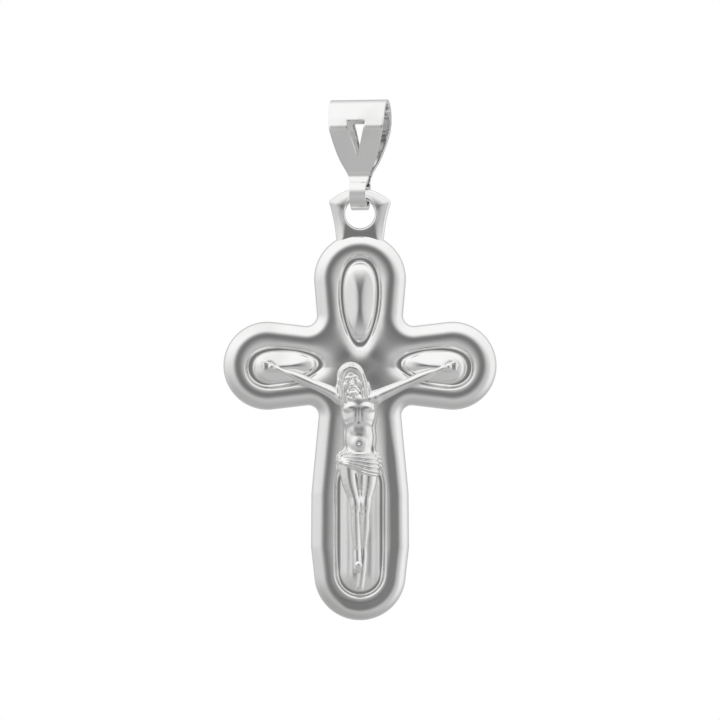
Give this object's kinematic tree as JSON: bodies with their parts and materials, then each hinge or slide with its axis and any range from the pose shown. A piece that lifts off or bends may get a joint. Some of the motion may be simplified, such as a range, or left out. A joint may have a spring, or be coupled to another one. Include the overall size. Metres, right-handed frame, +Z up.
{
  "type": "crucifix pendant with folded bail",
  "caption": "Polished silver crucifix pendant: hollow cross with rounded rim and raised lobes, cast figure on nails, hung by a pierced lug from a folded strip bail.",
  "frame": {"origin": "middle of the bail's chain passage, where a chain carries the pendant", "axes": "+Z up along the cross, +X to the viewer's right along the side arms, +Y towards the wearer; the figure looks along -Y"},
  "size_m": [0.0262, 0.0057, 0.0501],
  "materials": {
    "polished_silver": "polished",
    "satin_silver": "satin",
    "cast_silver": "gloss"
  },
  "bodies": {
    "bail": {"bail": "polished_silver"},
    "cross": {"front_shell": "polished_silver", "back_plate": "satin_silver", "hanging_lug": "polished_silver", "corpus": "cast_silver", "nail_left_hand": "cast_silver", "nail_right_hand": "cast_silver", "nail_feet": "cast_silver"}
  },
  "joints": [
    {"name": "cross_swing", "type": "hinge", "parent": "bail", "child": "cross", "pos_m": [0, 0, -0.0066], "axis": [1, 0, 0], "range_deg": [-100, 100]}
  ]
}
